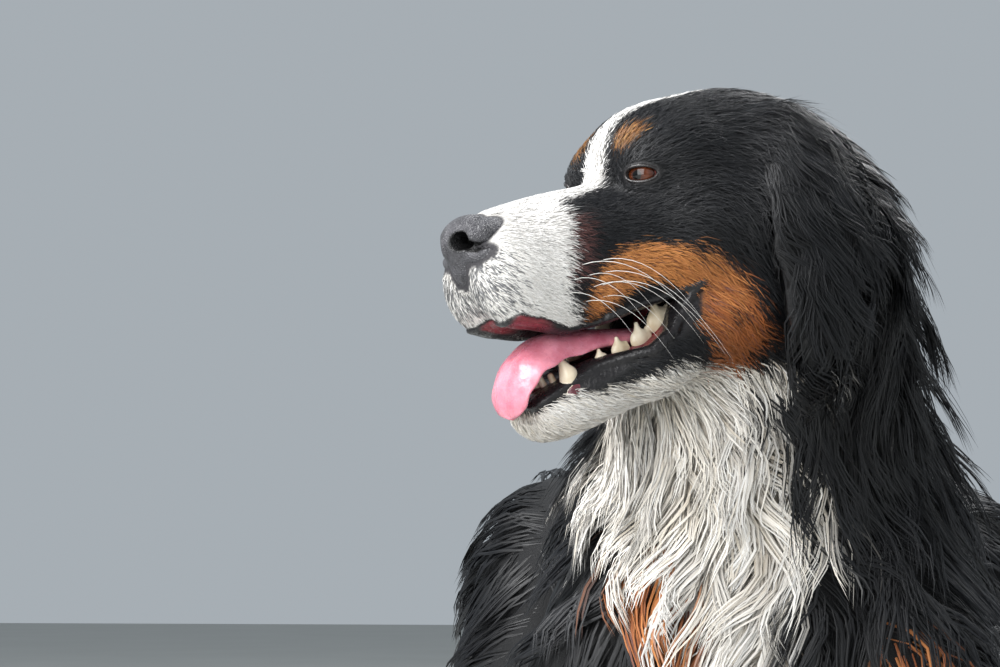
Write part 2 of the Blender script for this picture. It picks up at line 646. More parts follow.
def head_colours(local, colours):
    x, y, z = (local / MM).T
    ay = np.abs(y)
    folded = np.stack((x, ay, z), axis=1)
    rust = step(0.5, outline_distance(np.stack((x, z), axis=1), CHEEK_RUST), 2.0) * step(ay, 17, 3)
    rust *= np.maximum(step(y, 0, 5), step(z, -92, 3))
    rust *= step(np.hypot(x - MOLE[0], z - MOLE[1]), MOLE_RADIUS, 1.5)
    colours = mixed(colours, rusty(ramped(-z, 45, 105) + 0.3 * ramped(-x, 0, 45)), rust)
    brow = step(BROW_RADIUS, np.linalg.norm(folded - BROW, axis=1), 1.2)
    colours = mixed(colours, rusty(np.full(len(local), 0.8)) * BROW_SHADE, brow)
    edge = np.interp(z, *MUZZLE_EDGE)
    between = step(x, edge - 13, 6) * step(-17, z, 5) * step(z, -56, 4) * (dice.random(len(x)) < 0.6)
    colours = mixed(colours, BROWN, between * (1 - 0.6 * rust) * 0.85)
    muzzle = step(x, edge + dice.normal(0, 2.2, len(x)), 3) * step(z, -95, 3)
    blaze = step(np.interp(x, *BLAZE), ay, 1.3) * step(z, -22, 5)
    colours = mixed(colours, WHITE, np.maximum(muzzle, blaze))
    dark = 0.5 * ramped(x, 88, 103) * ramped(-z, 22, 30) * ramped(z, -76, -52)
    colours = mixed(colours, GREY, muzzle * (dice.random(len(local)) < dark))
    colours = mixed(colours, PINK, step(3.5, np.linalg.norm(folded - PINK_SPOT, axis=1), 1.5))
    jaw = step(np.interp(x, *JAW_WHITE), z, 2.0) * step(x, -75, 10) * step(75, ay, 10)
    return mixed(colours, creamy(local, 0.5), jaw)


def paint(points, spread=1.0):
    """Coat colours at points on the skin, with ragged edges between the markings."""
    black = np.tile(np.array(BLACK), (len(points), 1))
    ragged = dice.normal(0, spread, (len(points), 3))
    bodies = body_colours(points + ragged * 0.004, black)
    local = to_head(points)
    on_face = step(local[:, 2], -0.15, 0.004) * step(local[:, 0], -0.1, 0.004)
    on_face *= step(0.08, np.abs(local[:, 1]), 0.004)
    return mixed(bodies, head_colours(local + ragged * 0.002, black), on_face)


# Bare skin: how far it goes round the lips, the eyes and the nose, and the boxes that hold them
LIP_BARE = 0.0034
LID_BARE = 0.0022
NOSE_BARE = 0.0024
MOUTH_BOX = ((-0.03, -0.06, -0.135), (0.115, 0.06, -0.055))
NOSE_BOX = ((0.07, -1, -0.06), (1, 1, 0.01))
FACE_BOX = ((-0.03, -1, -0.135), (1, 1, 0.03))
NOSE_SKIN = (0.036, 0.034, 0.038)
WET_BLACK = (0.012, 0.011, 0.012)
GUM = (0.17, 0.018, 0.026)
PALATE = (0.4, 0.1, 0.12)


def within(points, low, high):
    return ((points > low) & (points < high)).all(axis=1)


def nose_margin(local):
    """How far the bare black skin goes round the nose, widest below the nostrils."""
    return NOSE_BARE - 0.0014 * ramped(local[:, 2], -0.024, -0.017)


def mouth_colours(points, spots, colours):
    """Colours round the mouth, from black lips to red gum and palate inside, and how wet it is there."""
    x, y, z = spots.T
    mouth = mouth_distance(spots)
    outside = union(HEAD + TRUNK, points)
    rim = step(0.0036 + 0.003 * step(-0.084, z, 0.002), mouth, 0.0008)
    wet = np.maximum(rim, step(LIP_BARE, union(LIPS, points), 0.001))
    front_red = ramped(x, 0.075, 0.086) * step(z, -0.098, 0.003)
    front_red *= 0.9 * step(0.1, x, 0.002) * step(0.0016, mouth, 0.0005) * step(y, -0.01, 0.0015)
    colours = mixed(colours, WET_BLACK, wet)
    colours = mixed(colours, GUM, np.maximum(step(-0.0065, outside, 0.0012) * rim, front_red))
    return mixed(colours, PALATE, step(-0.013, outside, 0.002) * rim * 0.6), wet


def skin_colours(points):
    """Colours of the bare skin, and where it is wet lip or mouth."""
    colours = paint(points, 0.5)
    colours = colours * (0.5 + 0.4 * ramped(colours[:, 2:], 0.1, 0.6))
    local = to_head(points)
    wet = np.zeros(len(points))
    near = within(local, *MOUTH_BOX)
    colours[near], wet[near] = mouth_colours(points[near], local[near], colours[near])
    near = within(local, *NOSE_BOX)
    pad = step(nose_margin(local[near]), union(NOSE, local[near]), 0.0008)
    colours[near] = mixed(colours[near], NOSE_SKIN, pad)
    for _, sign in SIDES:
        dark = step(LID_BARE, eye_opening(local, sign), 0.0008)
        colours = mixed(colours, WET_BLACK, dark)
        wet = np.maximum(wet, dark * 0.6)
    return colours, wet


# Meshes and materials
HAIR_GRAIN = 0.007
HAIR_WIDTH = 0.0009


def placed(name, data):
    obj = bpy.data.objects.new(name, data)
    bpy.context.scene.collection.objects.link(obj)
    return obj


def mesh_object(name, points, faces):
    """An object from arrays of points and of faces with one count of corners."""
    mesh = bpy.data.meshes.new(name)
    mesh.vertices.add(len(points))
    mesh.vertices.foreach_set("co", np.asarray(points, np.float32).ravel())
    mesh.loops.add(faces.size)
    mesh.loops.foreach_set("vertex_index", faces.astype(np.int32).ravel())
    mesh.polygons.add(len(faces))
    mesh.polygons.foreach_set("loop_start", np.arange(0, faces.size, faces.shape[1], dtype=np.int32))
    mesh.update(calc_edges=True)
    mesh.shade_smooth()
    return placed(name, mesh)


def merged(*meshes):
    """Points and faces of several meshes as those of one."""
    starts = np.cumsum([0] + [len(points) for points, _ in meshes])
    return (np.concatenate([points for points, _ in meshes]),
            np.concatenate([faces + start for (_, faces), start in zip(meshes, starts)]))


def set_attribute(obj, name, kind, field, values):
    layer = obj.data.attributes.new(name, kind, "POINT")
    layer.data.foreach_set(field, np.asarray(values, np.float32).ravel())


def set_colours(obj, colours):
    layer = obj.data.color_attributes.new("Col", "FLOAT_COLOR", "POINT")
    opaque = np.hstack((colours, np.ones((len(colours), 1))))
    layer.data.foreach_set("color", opaque.astype(np.float32).ravel())


def set_grain(obj, points):
    """Places stretched along the lie of the coat, for hair drawn on the skin."""
    local = to_head(points)
    spots = np.where((local[:, 2:] > -0.16) & (local[:, :1] > -0.12), local, points)
    set_attribute(obj, "grain", "FLOAT_VECTOR", "vector", spots / (HAIR_GRAIN, HAIR_WIDTH, HAIR_WIDTH))


def finish_piece(obj, material, slot, *nodes):
    obj.data.materials.clear()
    obj.data.materials.append(material)
    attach(obj, "root")
    if nodes:
        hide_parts(*nodes)


# What a noise mostly runs between
NOISE_SPAN = (0.28, 0.72)


class Nodes:
    """A material's node tree, built by short calls."""

    def __init__(self, name):
        self.material = bpy.data.materials.new(name)
        self.material.use_nodes = True
        self.tree = self.material.node_tree
        self.shader = self.tree.nodes["Principled BSDF"]

    def node(self, kind, inputs, **settings):
        """A new node with its inputs, by name or number, linked or set."""
        node = self.tree.nodes.new(kind)
        for key, value in settings.items():
            setattr(node, key, value)
        for name, source in inputs.items():
            if isinstance(source, bpy.types.NodeSocket):
                self.tree.links.new(source, node.inputs[name])
            else:
                node.inputs[name].default_value = source
        return node.outputs

    def feed(self, name, output):
        self.tree.links.new(output, self.shader.inputs[name])

    def value(self, name, value):
        self.shader.inputs[name].default_value = value

    def place(self):
        return self.node("ShaderNodeTexCoord", {})["Object"]

    def attribute(self, name, output="Color"):
        return self.node("ShaderNodeAttribute", {}, attribute_name=name)[output]

    def noise(self, scale, detail=3.0, vector=None, rough=0.5):
        inputs = {"Scale": scale, "Detail": detail, "Roughness": rough, "Vector": vector or self.place()}
        return self.node("ShaderNodeTexNoise", inputs)["Fac"]

    def ramp(self, factor, stops):
        node = self.tree.nodes.new("ShaderNodeValToRGB")
        while len(node.color_ramp.elements) < len(stops):
            node.color_ramp.elements.new(0.5)
        for element, (place, colour) in zip(node.color_ramp.elements, stops):
            element.position = place
            element.color = (*colour, 1)
        self.tree.links.new(factor, node.inputs["Fac"])
        return node.outputs["Color"]

    def scaled(self, factor, low, high):
        """A noise's usual span stretched to run from low to high."""
        span = {"From Min": NOISE_SPAN[0], "From Max": NOISE_SPAN[1], "To Min": low, "To Max": high}
        return self.node("ShaderNodeMapRange", {"Value": factor, **span})["Result"]

    def vector(self, operation, *inputs):
        return self.node("ShaderNodeVectorMath", dict(enumerate(inputs)), operation=operation)

    def product(self, colour, factor):
        return self.vector("MULTIPLY", colour, factor)["Vector"]

    def blend(self, factor, first, second):
        return self.node("ShaderNodeMix", {"Factor": factor, "A": first, "B": second})["Result"]

    def bump(self, height, depth, strength):
        inputs = {"Height": height, "Distance": depth, "Strength": strength}
        self.feed("Normal", self.node("ShaderNodeBump", inputs)["Normal"])


def coat_material():
    """Hair: the strand's own colour with fine streaks along it."""
    made = Nodes("coat")
    streaks = made.noise(1.0, 2.0, made.node("ShaderNodeUVMap", {}, uv_map="strand")["UV"], 0.6)
    colour = made.product(made.attribute("Col"), made.scaled(streaks, 0.72, 1.25))
    made.feed("Base Color", made.product(colour, made.scaled(made.noise(26.0, 2.0), 0.8, 1.2)))
    made.feed("Roughness", made.scaled(streaks, 0.26, 0.66))
    made.value("Specular IOR Level", 0.4)
    made.bump(streaks, 0.0006, 0.7)
    return made.material


def skin_material():
    """Close hair drawn in fine streaks on dry skin, and wet lip and mouth where it is bare."""
    made = Nodes("skin")
    wet = made.attribute("wet", "Fac")
    hairs = made.noise(1.0, 3.0, made.attribute("grain", "Vector"), 0.6)
    made.feed("Base Color", made.product(made.attribute("Col"), made.scaled(hairs, 0.55, 1.35)))
    gloss = made.scaled(made.noise(160.0), 0.2, 0.4)
    made.feed("Roughness", made.blend(wet, made.scaled(hairs, 0.55, 0.8), gloss))
    made.value("Specular IOR Level", 0.35)
    made.bump(made.blend(wet, hairs, made.noise(300.0, 3.0)), 0.0009, 0.8)
    return made.material


def wet_material(name, dark, light, scale, rough, depth, subsurface=0.0):
    """Moist flesh, horn or tooth: colours by noise, with a fine bump."""
    made = Nodes(name)
    made.feed("Base Color", made.ramp(made.noise(scale, 4.0), ((0.3, dark), (0.7, light))))
    made.feed("Roughness", made.scaled(made.noise(scale * 2.1), *rough))
    made.bump(made.noise(scale * 3.0, 3.0), depth, 0.8)
    if subsurface:
        made.value("Subsurface Weight", subsurface)
        made.value("Subsurface Radius", (0.004, 0.0015, 0.001))
        made.value("Subsurface Scale", 1.0)
    return made.material


def nose_material():
    """Black leather in small plates, darker inside the nostrils."""
    made = Nodes("nose")
    plates = made.node("ShaderNodeTexVoronoi", {"Scale": 760.0, "Vector": made.place()},
                       feature="DISTANCE_TO_EDGE")["Distance"]
    grain = made.noise(130.0, 3.0)
    colour = made.ramp(grain, ((0.3, (0.03, 0.029, 0.033)), (0.7, (0.085, 0.083, 0.092))))
    made.feed("Base Color", made.product(colour, made.attribute("Col")))
    made.feed("Roughness", made.scaled(grain, 0.34, 0.52))
    made.bump(plates, 0.001, 1.0)
    return made.material


PUPIL = 0.22
IRIS = 0.76
EYE_STOPS = (
    (0.0, (0.001, 0.001, 0.001)), (PUPIL, (0.001, 0.001, 0.001)), (PUPIL + 0.03, (0.035, 0.009, 0.004)),
    (0.5, (0.105, 0.026, 0.008)), (IRIS - 0.05, (0.045, 0.011, 0.005)), (IRIS, (0.008, 0.004, 0.003)),
    (IRIS + 0.05, (0.16, 0.045, 0.04)), (1.0, (0.14, 0.04, 0.036)),
)


def eye_material():
    """Pupil, brown iris with rays, dark rim and white, by the distance from the line of sight."""
    made = Nodes("eye")
    flat = made.product(made.place(), (0, 1 / EYE_RADIUS, 1 / EYE_RADIUS))
    rays = made.noise(9.0, 4.0, made.vector("NORMALIZE", flat)["Vector"])
    inputs = {0: made.vector("LENGTH", flat)["Value"], 1: made.scaled(rays, -0.03, 0.03)}
    reach = made.node("ShaderNodeMath", inputs, operation="ADD")["Value"]
    made.feed("Base Color", made.product(made.ramp(reach, EYE_STOPS), made.scaled(rays, 0.6, 1.5)))
    made.feed("Roughness", made.scaled(made.noise(400.0), 0.03, 0.07))
    return made.material


# Two colours, scale of the grain, roughness, depth of the bump, and light let through
WET = {
    "tooth": ((0.62, 0.5, 0.33), (0.8, 0.72, 0.58), 90.0, (0.14, 0.28), 0.0002),
    "tongue": ((0.46, 0.12, 0.17), (0.7, 0.27, 0.34), 70.0, (0.16, 0.38), 0.0006, 0.25),
    "gum": ((0.045, 0.014, 0.02), (0.26, 0.06, 0.075), 110.0, (0.1, 0.28), 0.0005),
    "lid": ((0.008, 0.007, 0.007), (0.022, 0.018, 0.018), 300.0, (0.2, 0.4), 0.0002),
    "claw": ((0.015, 0.012, 0.011), (0.06, 0.048, 0.04), 160.0, (0.25, 0.45), 0.0002),
    "whisker": ((0.7, 0.68, 0.64), (0.86, 0.85, 0.82), 300.0, (0.3, 0.5), 0.0001),
}
MATERIALS = {"coat": coat_material(), "skin": skin_material(), "nose": nose_material(), "eye": eye_material()}
MATERIALS.update({name: wet_material(name, *looks) for name, looks in WET.items()})
SKIN_NODES = ["head", "jaw", "neck", "chest", "torso", "rump", "tail_base", "tail_tip", "ear_left",
              "ear_right"]
SKIN_NODES += [f"{part}_{side}" for part in ("shoulder", "foreleg", "thigh", "hindfoot") for side, _ in SIDES]


# The skin
def build_skin():
    points, quads = merged(head_skin(), body_skin())
    points[:, 2] = np.maximum(points[:, 2], SOLE)
    obj = mesh_object("skin", points, quads)
    colours, wet = skin_colours(points)
    set_colours(obj, colours)
    set_attribute(obj, "wet", "FLOAT", "value", wet)
    set_grain(obj, points)
    bpy.context.view_layer.objects.active = obj
    obj.select_set(True)
    bpy.ops.object.mode_set(mode="EDIT")
    bpy.ops.mesh.select_all(action="SELECT")
    bpy.ops.uv.smart_project(angle_limit=math.radians(75), island_margin=0.001)
    bpy.ops.object.mode_set(mode="OBJECT")
    obj.select_set(False)
    finish_piece(obj, MATERIALS["skin"], "coat", *SKIN_NODES)
    return obj, points, quads


# The coat: places on the skin where hairs grow, with the coat's measures there
Roots = namedtuple("Roots", "place uv normal values lie kind colour")
# How the coats of near masses blend, how high the soles are bare, how deep a root may lie under the
# body's grid, and how far along a hair its colour is taken
BLEND_REACH = 0.01
BARE_SOLE = 0.004
DEEPEST_ROOT = -0.006
SHOWN_AT = 0.5


def measures(points):
    """Blended coat measures, lie and nearest kind at points, by how near the masses are."""
    gaps = np.stack([distance(mass, points) for mass in ALL], axis=1)
    weights = np.exp(-(gaps - gaps.min(axis=1, keepdims=True)) / BLEND_REACH)
    weights /= weights.sum(axis=1, keepdims=True)
    table = np.array([COATS[mass.coat] for mass in ALL])
    lies = np.array([unit(mass.lie) for mass in ALL])
    kinds = np.array([mass.coat for mass in ALL])[gaps.argmin(axis=1)]
    return weights @ table, weights @ lies, kinds


def bare(points):
    """Where no hair grows: the lips and mouth, the nose, round the eyes and under the paws."""
    local = to_head(points)
    near = within(local, *FACE_BOX)
    spots = local[near]
    thin = 0.0012 * ramped(spots[:, 0], 0.05, 0.062) * step(spots[:, 2], -0.098, 0.003)
    inside = mouth_distance(spots) < 0.0032 - thin
    inside |= union(LIPS, points[near]) < LIP_BARE
    inside |= union(NOSE, spots) < nose_margin(spots)
    for _, sign in SIDES:
        inside |= eye_opening(spots, sign) < LID_BARE
    shown = points[:, 2] < BARE_SOLE
    shown[near] |= inside
    return shown


def sow(skin, points, quads, grid):
    """Roots spread over the skin, each with the colour that the markings have where its hair shows."""
    corners = points[quads]
    normals = np.cross(corners[:, 2] - corners[:, 0], corners[:, 3] - corners[:, 1])
    values, _, _ = measures(corners.mean(axis=1))
    wanted = np.linalg.norm(normals, axis=1) / 2 * 1e4 * values[:, DENSITY] * COAT_SHARE
    count = np.floor(wanted + dice.random(len(wanted))).astype(int)
    face = np.repeat(np.arange(len(quads)), count)
    u, v = dice.random((2, len(face)))
    share = np.stack(((1 - u) * (1 - v), u * (1 - v), u * v, (1 - u) * v), axis=1)[:, :, None]
    place = (corners[face] * share).sum(axis=1)
    uv = np.empty(len(skin.data.loops) * 2, np.float32)
    skin.data.uv_layers.active.data.foreach_get("uv", uv)
    uv = (uv.reshape(-1, 4, 2)[face] * share).sum(axis=1)
    keep = ~bare(place) & (grid.at(place) > DEEPEST_ROOT)
    place = place[keep]
    values, lie, kind = measures(place)
    colour = paint(place + SHOWN_AT * values[:, LENGTH:LENGTH + 1] * unit(lie))
    return Roots(place, uv[keep], unit(normals[face[keep]]), values, lie, kind, colour)


def part_of(roots, chosen):
    return Roots(*(field[chosen] for field in roots))


FLOOR_CLEARANCE = 0.0015
CURL_DEPTH = 0.45
RIPPLES = np.random.default_rng(3).normal(0, 34, (5, 3))


def off_floor(points, clearance=FLOOR_CLEARANCE):
    points[..., 2] = np.maximum(points[..., 2], clearance)
    return points


def drift(points, turn):
    """A value that wanders smoothly over the coat, between about -1 and 1."""
    return sum(np.sin(points @ ripple + turn * (1 + n)) for n, ripple in enumerate(RIPPLES)) / 3


def trace(grid, place, normal, lie, length, height, wave, waves, steps):
    """Centre lines of hairs that rise to their height, lie along the coat and sink with their weight."""
    phase = 2.5 * drift(place, 0) + dice.normal(0, 0.6, len(place))
    path = [place]
    point = place.copy()
    for number in range(1, steps + 1):
        share = number / steps
        way = lie + DOWN * (0.5 * share * (length / 0.08))[:, None]
        way = unit(way - normal * (way * normal).sum(axis=1, keepdims=True))
        across = np.cross(normal, way)
        turns = phase + 2 * math.pi * waves * share
        sway = wave * (np.sin(turns) - np.sin(phase + 2 * math.pi * waves * (share - 1 / steps)))
        point = point + way * (length / steps)[:, None] + across * sway[:, None]
        curl = CURL_DEPTH * wave * np.cos(turns) * math.sqrt(share)
        aim = height * (1 - (1 - share) ** 2) + curl
        normal = grid.slope(point)
        point = off_floor(point + normal * (aim - grid.at(point))[:, None])
        path.append(point)
    return np.stack(path, axis=1)


# Locks: how far they sway on the coat and on the bib, how far their tips part, and their tones
LOCK_SWAY = 0.22
BIB_SWAY = 0.42
LOOSE_TIPS = 0.0024
LOCK_TONES = (0.78, 1.14)


def locks(grid, roots, steps):
    """Hairs drawn together towards the tips of shared locks, and the tone of each."""
    count = len(roots.place)
    leaders = np.flatnonzero(dice.random(count) < LOCK_SHARE)
    tree = KDTree(len(leaders))
    for number, leader in enumerate(leaders):
        tree.insert(roots.place[leader], number)
    tree.balance()
    nearest = np.array([tree.find(place)[1] for place in roots.place])
    lead = part_of(roots, leaders)
    values = lead.values
    length = values[:, LENGTH] * dice.uniform(0.75, 1.15, len(leaders))
    height = values[:, HEIGHT] * dice.uniform(0.45, 1.0, len(leaders))
    sway = np.stack([drift(lead.place, turn) for turn in (1, 2, 3)], axis=1)
    swirl = np.where(lead.kind == "bib", BIB_SWAY, LOCK_SWAY)[:, None]
    lie = unit(lead.lie) + swirl * sway + dice.normal(0, 0.1, (len(leaders), 3))
    wave = values[:, WAVE] * dice.uniform(0.4, 1.3, len(leaders))
    guide = trace(grid, lead.place, lead.normal, lie, length, height, wave, values[:, WAVES], steps)[nearest]
    share = np.linspace(0, 1, steps + 1)
    hold = 1 - roots.values[:, PINCH][:, None] * share ** 0.9
    path = guide + (roots.place - guide[:, 0])[:, None, :] * hold[:, :, None]
    path = path + dice.normal(0, 1, (count, 3))[:, None, :] * (LOOSE_TIPS * share ** 1.5)[:, None]
    shorter = dice.uniform(0.72, 1.0, count)
    off_floor(path[:, 1:])
    tone = dice.uniform(*LOCK_TONES, len(leaders))[nearest]
    return path[:, :1] + (path - path[:, :1]) * shorter[:, None, None], tone


def single_hairs(grid, roots, steps):
    """Hairs that each lie by themselves, all of one tone."""
    count = len(roots.place)
    lie = unit(roots.lie) + dice.normal(0, 0.16, (count, 3))
    length = roots.values[:, LENGTH] * dice.uniform(0.7, 1.2, count)
    height = roots.values[:, HEIGHT] * dice.uniform(0.4, 1.15, count)
    return trace(grid, roots.place, roots.normal, lie, length, height, roots.values[:, WAVE],
                 roots.values[:, WAVES], steps), np.ones(count)


def taper(share):
    """A hair's width along it: narrower at the root, and a point at the tip."""
    return (0.6 + 0.4 * np.minimum(1, 4 * share)) * (1 - share ** 3) ** 0.8


def hair_faces(steps):
    """Triangles of one hair: its three sides, its tip and its root."""
    faces = []
    for low in range(0, 3 * steps - 3, 3):
        for side in range(3):
            a, b = low + side, low + (side + 1) % 3
            faces += [(a, b + 3, b), (a, a + 3, b + 3)]
    last = 3 * steps - 3
    faces += [(last + side, last + 3, last + (side + 1) % 3) for side in range(3)]
    return np.array(faces + [(0, 1, 2)])


def with_tips(rings, tips):
    """Three points for each step of a hair but the last, where they meet in one."""
    return np.concatenate((rings[:, :-1].reshape(len(rings), -1, 3), tips[:, None]), axis=1)


def set_uv(obj, name, values):
    layer = obj.data.uv_layers.new(name=name)
    layer.data.foreach_set("uv", values.astype(np.float32).ravel())


# Looks of a hair: how far it is shaded as the coat's surface, how much darker and warmer its root is,
# the side of its patch in a baked picture, and how its streaks run round and along it
COAT_SHADING = 0.72
BIB_SHADING = 0.14
ROOT_TONES = (0.64, 0.88)
ROOT_WARMTH = (0.85, 1.0, 1.2)
PATCH = 0.003
STREAKS = (3.5, 1.4)


def strand_mesh(name, path, roots, steps, grid):
    """Closed tapered hairs of three sides, shaded partly as the coat's own surface."""
    count = len(path)
    tangent = unit(np.gradient(path, axis=1))
    across = unit(np.cross(tangent, roots.normal[:, None, :]))
    over = np.cross(across, tangent)
    roll = dice.normal(0, 0.45, count)[:, None, None]
    across, over = across * np.cos(roll) + over * np.sin(roll), over * np.cos(roll) - across * np.sin(roll)
    width = roots.values[:, WIDTH][:, None] * taper(np.linspace(0, 1, steps + 1))
    width = (width * dice.uniform(0.75, 1.25, (count, 1)))[:, :, None]
    rings = np.stack((path + across * width, path + over * width * 0.55, path - across * width), axis=2)
    off_floor(rings, FLOOR_CLEARANCE / 3)
    faces = hair_faces(steps)
    each = 3 * steps + 1
    all_faces = (faces + each * np.arange(count)[:, None, None]).reshape(-1, 3)
    obj = mesh_object(name, with_tips(rings, path[:, -1]).reshape(-1, 3), all_faces)
    facing = grid.slope(path.reshape(-1, 3)).reshape(path.shape)
    soft = COAT_SHADING + BIB_SHADING * (roots.kind == "bib")[:, None, None, None]
    shading = soft * facing[:, :, None] + (1 - soft) * np.stack((across, over, -across), axis=2)
    shading = unit(with_tips(shading, facing[:, -1])).reshape(-1, 3)
    obj.data.normals_split_custom_set_from_vertices(shading.tolist())
    along = np.append(np.repeat(np.linspace(0, 1, steps + 1)[:steps], 3), 1.0)
    around = np.append(np.tile((0.0, 0.5, 1.0), steps), 0.5)
    root_tone = ROOT_TONES[steps < SHORTEST_LOCKED]
    tone = (root_tone + (1 - root_tone) * np.minimum(along * 2.2, 1)) * (1 + 0.12 * along)
    warm = tone[:, None] ** np.array(ROOT_WARMTH)
    own = dice.uniform(0.92, 1.06, (count, 1, 1))
    set_colours(obj, (roots.colour[:, None, :] * warm * own).reshape(-1, 3))
    spots = np.stack((around, along), axis=1)[faces.ravel()]
    set_uv(obj, "OFBake", roots.uv[:, None, :] + spots * PATCH)
    set_uv(obj, "strand", spots * STREAKS + dice.uniform(0, 90, (count, 1, 2)))
    return obj


CHUNK_TRIANGLES = 185000


def grow_coat(skin, points, quads, grid):
    roots = sow(skin, points, quads, grid)
    for group, (kinds, steps) in GROUPS.items():
        chosen = np.flatnonzero(np.isin(roots.kind, kinds))
        chosen = chosen[np.argsort(roots.place[chosen, 0], kind="stable")]
        some = part_of(roots, chosen)
        grow = locks if steps >= SHORTEST_LOCKED else single_hairs
        path, tone = grow(grid, some, steps)
        some = some._replace(colour=some.colour * tone[:, None])
        parts = math.ceil(len(chosen) * len(hair_faces(steps)) / CHUNK_TRIANGLES)
        for number, share in enumerate(np.array_split(np.arange(len(chosen)), parts)):
            obj = strand_mesh(f"coat_{group}_{number + 1}", path[share], part_of(some, share), steps, grid)
            finish_piece(obj, MATERIALS["coat"], "coat")


# Nose leather
NOSE = [
    ball("face", (0.099, 0, -0.0165), (0.0185, 0.019, 0.0155), blend=0.005),
    ball("face", (0.1015, 0, -0.032), (0.0125, 0.0125, 0.0125), blend=0.006),
]
for wing in (ball("face", (0.096, 0.014, -0.026), (0.015, 0.0135, 0.0085), blend=0.003),
             ball("face", (0.0945, 0.013, -0.015), (0.016, 0.011, 0.0098), blend=0.001)):
    NOSE += both_sides([wing])
NOSTRIL_SLIT = [((0.109, 0.0135, -0.0185), 0.0034), ((0.1065, 0.0185, -0.0212), 0.0024),
                ((0.1, 0.0238, -0.0215), 0.0019), ((0.0914, 0.0248, -0.0195), 0.0018),
                ((0.0828, 0.022, -0.014), 0.0014)]
NOSTRIL_HOLE = limb("face", (0.099, 0.0075, -0.0155), (0.116, 0.0112, -0.0152), 0.0048, 0.0056)
NOSTRILS = both_sides([NOSTRIL_HOLE] + chain("face", NOSTRIL_SLIT, 0.001))
PHILTRUM = limb("face", (0.118, 0, -0.012), (0.112, 0, -0.044), 0.0008, 0.0014)
NOSE_CELL = 0.0008 * FINE
NOSTRIL_TONE = 0.06


def build_nose():
    grid = Grid((0.074, -0.028, -0.052), (0.122, 0.028, 0.006), NOSE_CELL, HEAD_TURN, HEAD_PLACE)
    local = grid.local().reshape(-1, 3)
    values = soft_max(union(NOSE, local), -union(NOSTRILS, local), 0.0012)
    grid.values = soft_max(values, -distance(PHILTRUM, local), 0.0015).reshape(grid.count)
    points, quads = grid.skin()
    obj = mesh_object("nose", points, quads)
    lit = NOSTRIL_TONE + (1 - NOSTRIL_TONE) * ramped(union(NOSTRILS, to_head(points)), 0.0002, 0.0016)
    set_colours(obj, np.repeat(lit[:, None], 3, axis=1))
    finish_piece(obj, MATERIALS["nose"], "nose", "nose")


# Eyes and lids
GAZE_OUT = {"left": 27, "right": 18}
GAZE_RISE = 3
CORNEA_BULGE = 0.0009
CORNEA_START = 0.72


def build_eye(side, sign):
    bm = bmesh.new()
    bmesh.ops.create_uvsphere(bm, u_segments=48, v_segments=32, radius=EYE_RADIUS,
                              matrix=rotation(90, "Y").to_4x4())
    for vert in bm.verts:
        out = max(0.0, vert.co.x / EYE_RADIUS - CORNEA_START) / (1 - CORNEA_START)
        vert.co.x += CORNEA_BULGE * out
    mesh = bpy.data.meshes.new(f"eye_{side}")
    bm.to_mesh(mesh)
    bm.free()
    mesh.shade_smooth()
    obj = placed(f"eye_{side}", mesh)
    gaze = (rotation(sign * GAZE_OUT[side], "Z") @ rotation(-GAZE_RISE, "Y")).to_4x4()
    obj.matrix_world = HEAD_MATRIX @ Matrix.Translation(EYE_CENTRE * (1, sign, 1)) @ gaze
    finish_piece(obj, MATERIALS["eye"], "eye", f"eye_{side}")


def ringed(rings, ends=None):
    """Points and faces on rings in a row that ends in two points, or in a loop without them."""
    count, sides = rings.shape[:2]
    here = np.arange(sides)
    after = (here + 1) % sides
    row = sides * np.arange(count if ends is None else count - 1)[:, None]
    up = (row + sides) % (count * sides)
    faces = np.stack((row + here, row + after, up + after, up + here), axis=-1).reshape(-1, 4)
    points = rings.reshape(-1, 3)
    if ends is None:
        return points, faces
    last = len(points)
    caps = [np.stack((after, here, np.full(sides, last)), axis=1),
            np.stack((last - sides + here, last - sides + after, np.full(sides, last + 1)), axis=1)]
    return np.concatenate((points, ends)), np.concatenate((faces[:, :3], faces[:, [0, 2, 3]], *caps))


TUBE_UP = np.array((0.13, 0.21, 0.97))


def tube(path, radii, sides=8, closed=False):
    """Points and faces of a smooth tube along a line of points."""
    tangent = np.roll(path, -1, axis=0) - np.roll(path, 1, axis=0) if closed else np.gradient(path, axis=0)
    tangent = unit(tangent)
    across = unit(np.cross(tangent, TUBE_UP))
    over = np.cross(tangent, across)
    angle = 2 * math.pi * np.arange(sides) / sides
    ring = across[:, None] * np.cos(angle)[:, None] + over[:, None] * np.sin(angle)[:, None]
    radii = np.broadcast_to(radii, len(path))[:, None, None]
    return ringed(path[:, None] + ring * radii, None if closed else path[[0, -1]])


LID_RIM = 0.001
LID_POINTS = 64
LID_FLOAT = 0.0002
LID_SINK = 0.0006
HALVINGS = 30


def build_lid(side, sign):
    """The dark moist rim between the lids' skin and the eye."""
    angle = 2 * math.pi * np.arange(LID_POINTS) / LID_POINTS
    low = np.zeros(LID_POINTS)
    high = np.full(LID_POINTS, LID_RADIUS - LID_SINK)
    radius = LID_RADIUS - LID_FLOAT

    def rim(reach):
        out = np.sqrt(radius ** 2 - reach ** 2)
        return np.stack((out, reach * np.cos(angle), reach * np.sin(angle)), axis=1)

    for _ in range(HALVINGS):
        reach = (low + high) / 2
        inside = (((rim(reach) - (ALMOND_OUT, 0, 0)) / ALMOND) ** 2).sum(axis=1) < 1
        low = np.where(inside, reach, low)
        high = np.where(inside, high, reach)
    local = rim((low + high) / 2 + 0.0003) - (LID_SINK, 0, 0)
    path = to_world(EYE_CENTRE * (1, sign, 1) + local @ lid_axes(sign).T)
    obj = mesh_object(f"lid_{side}", *tube(path, LID_RIM, closed=True))
    finish_piece(obj, MATERIALS["lid"], "gum")


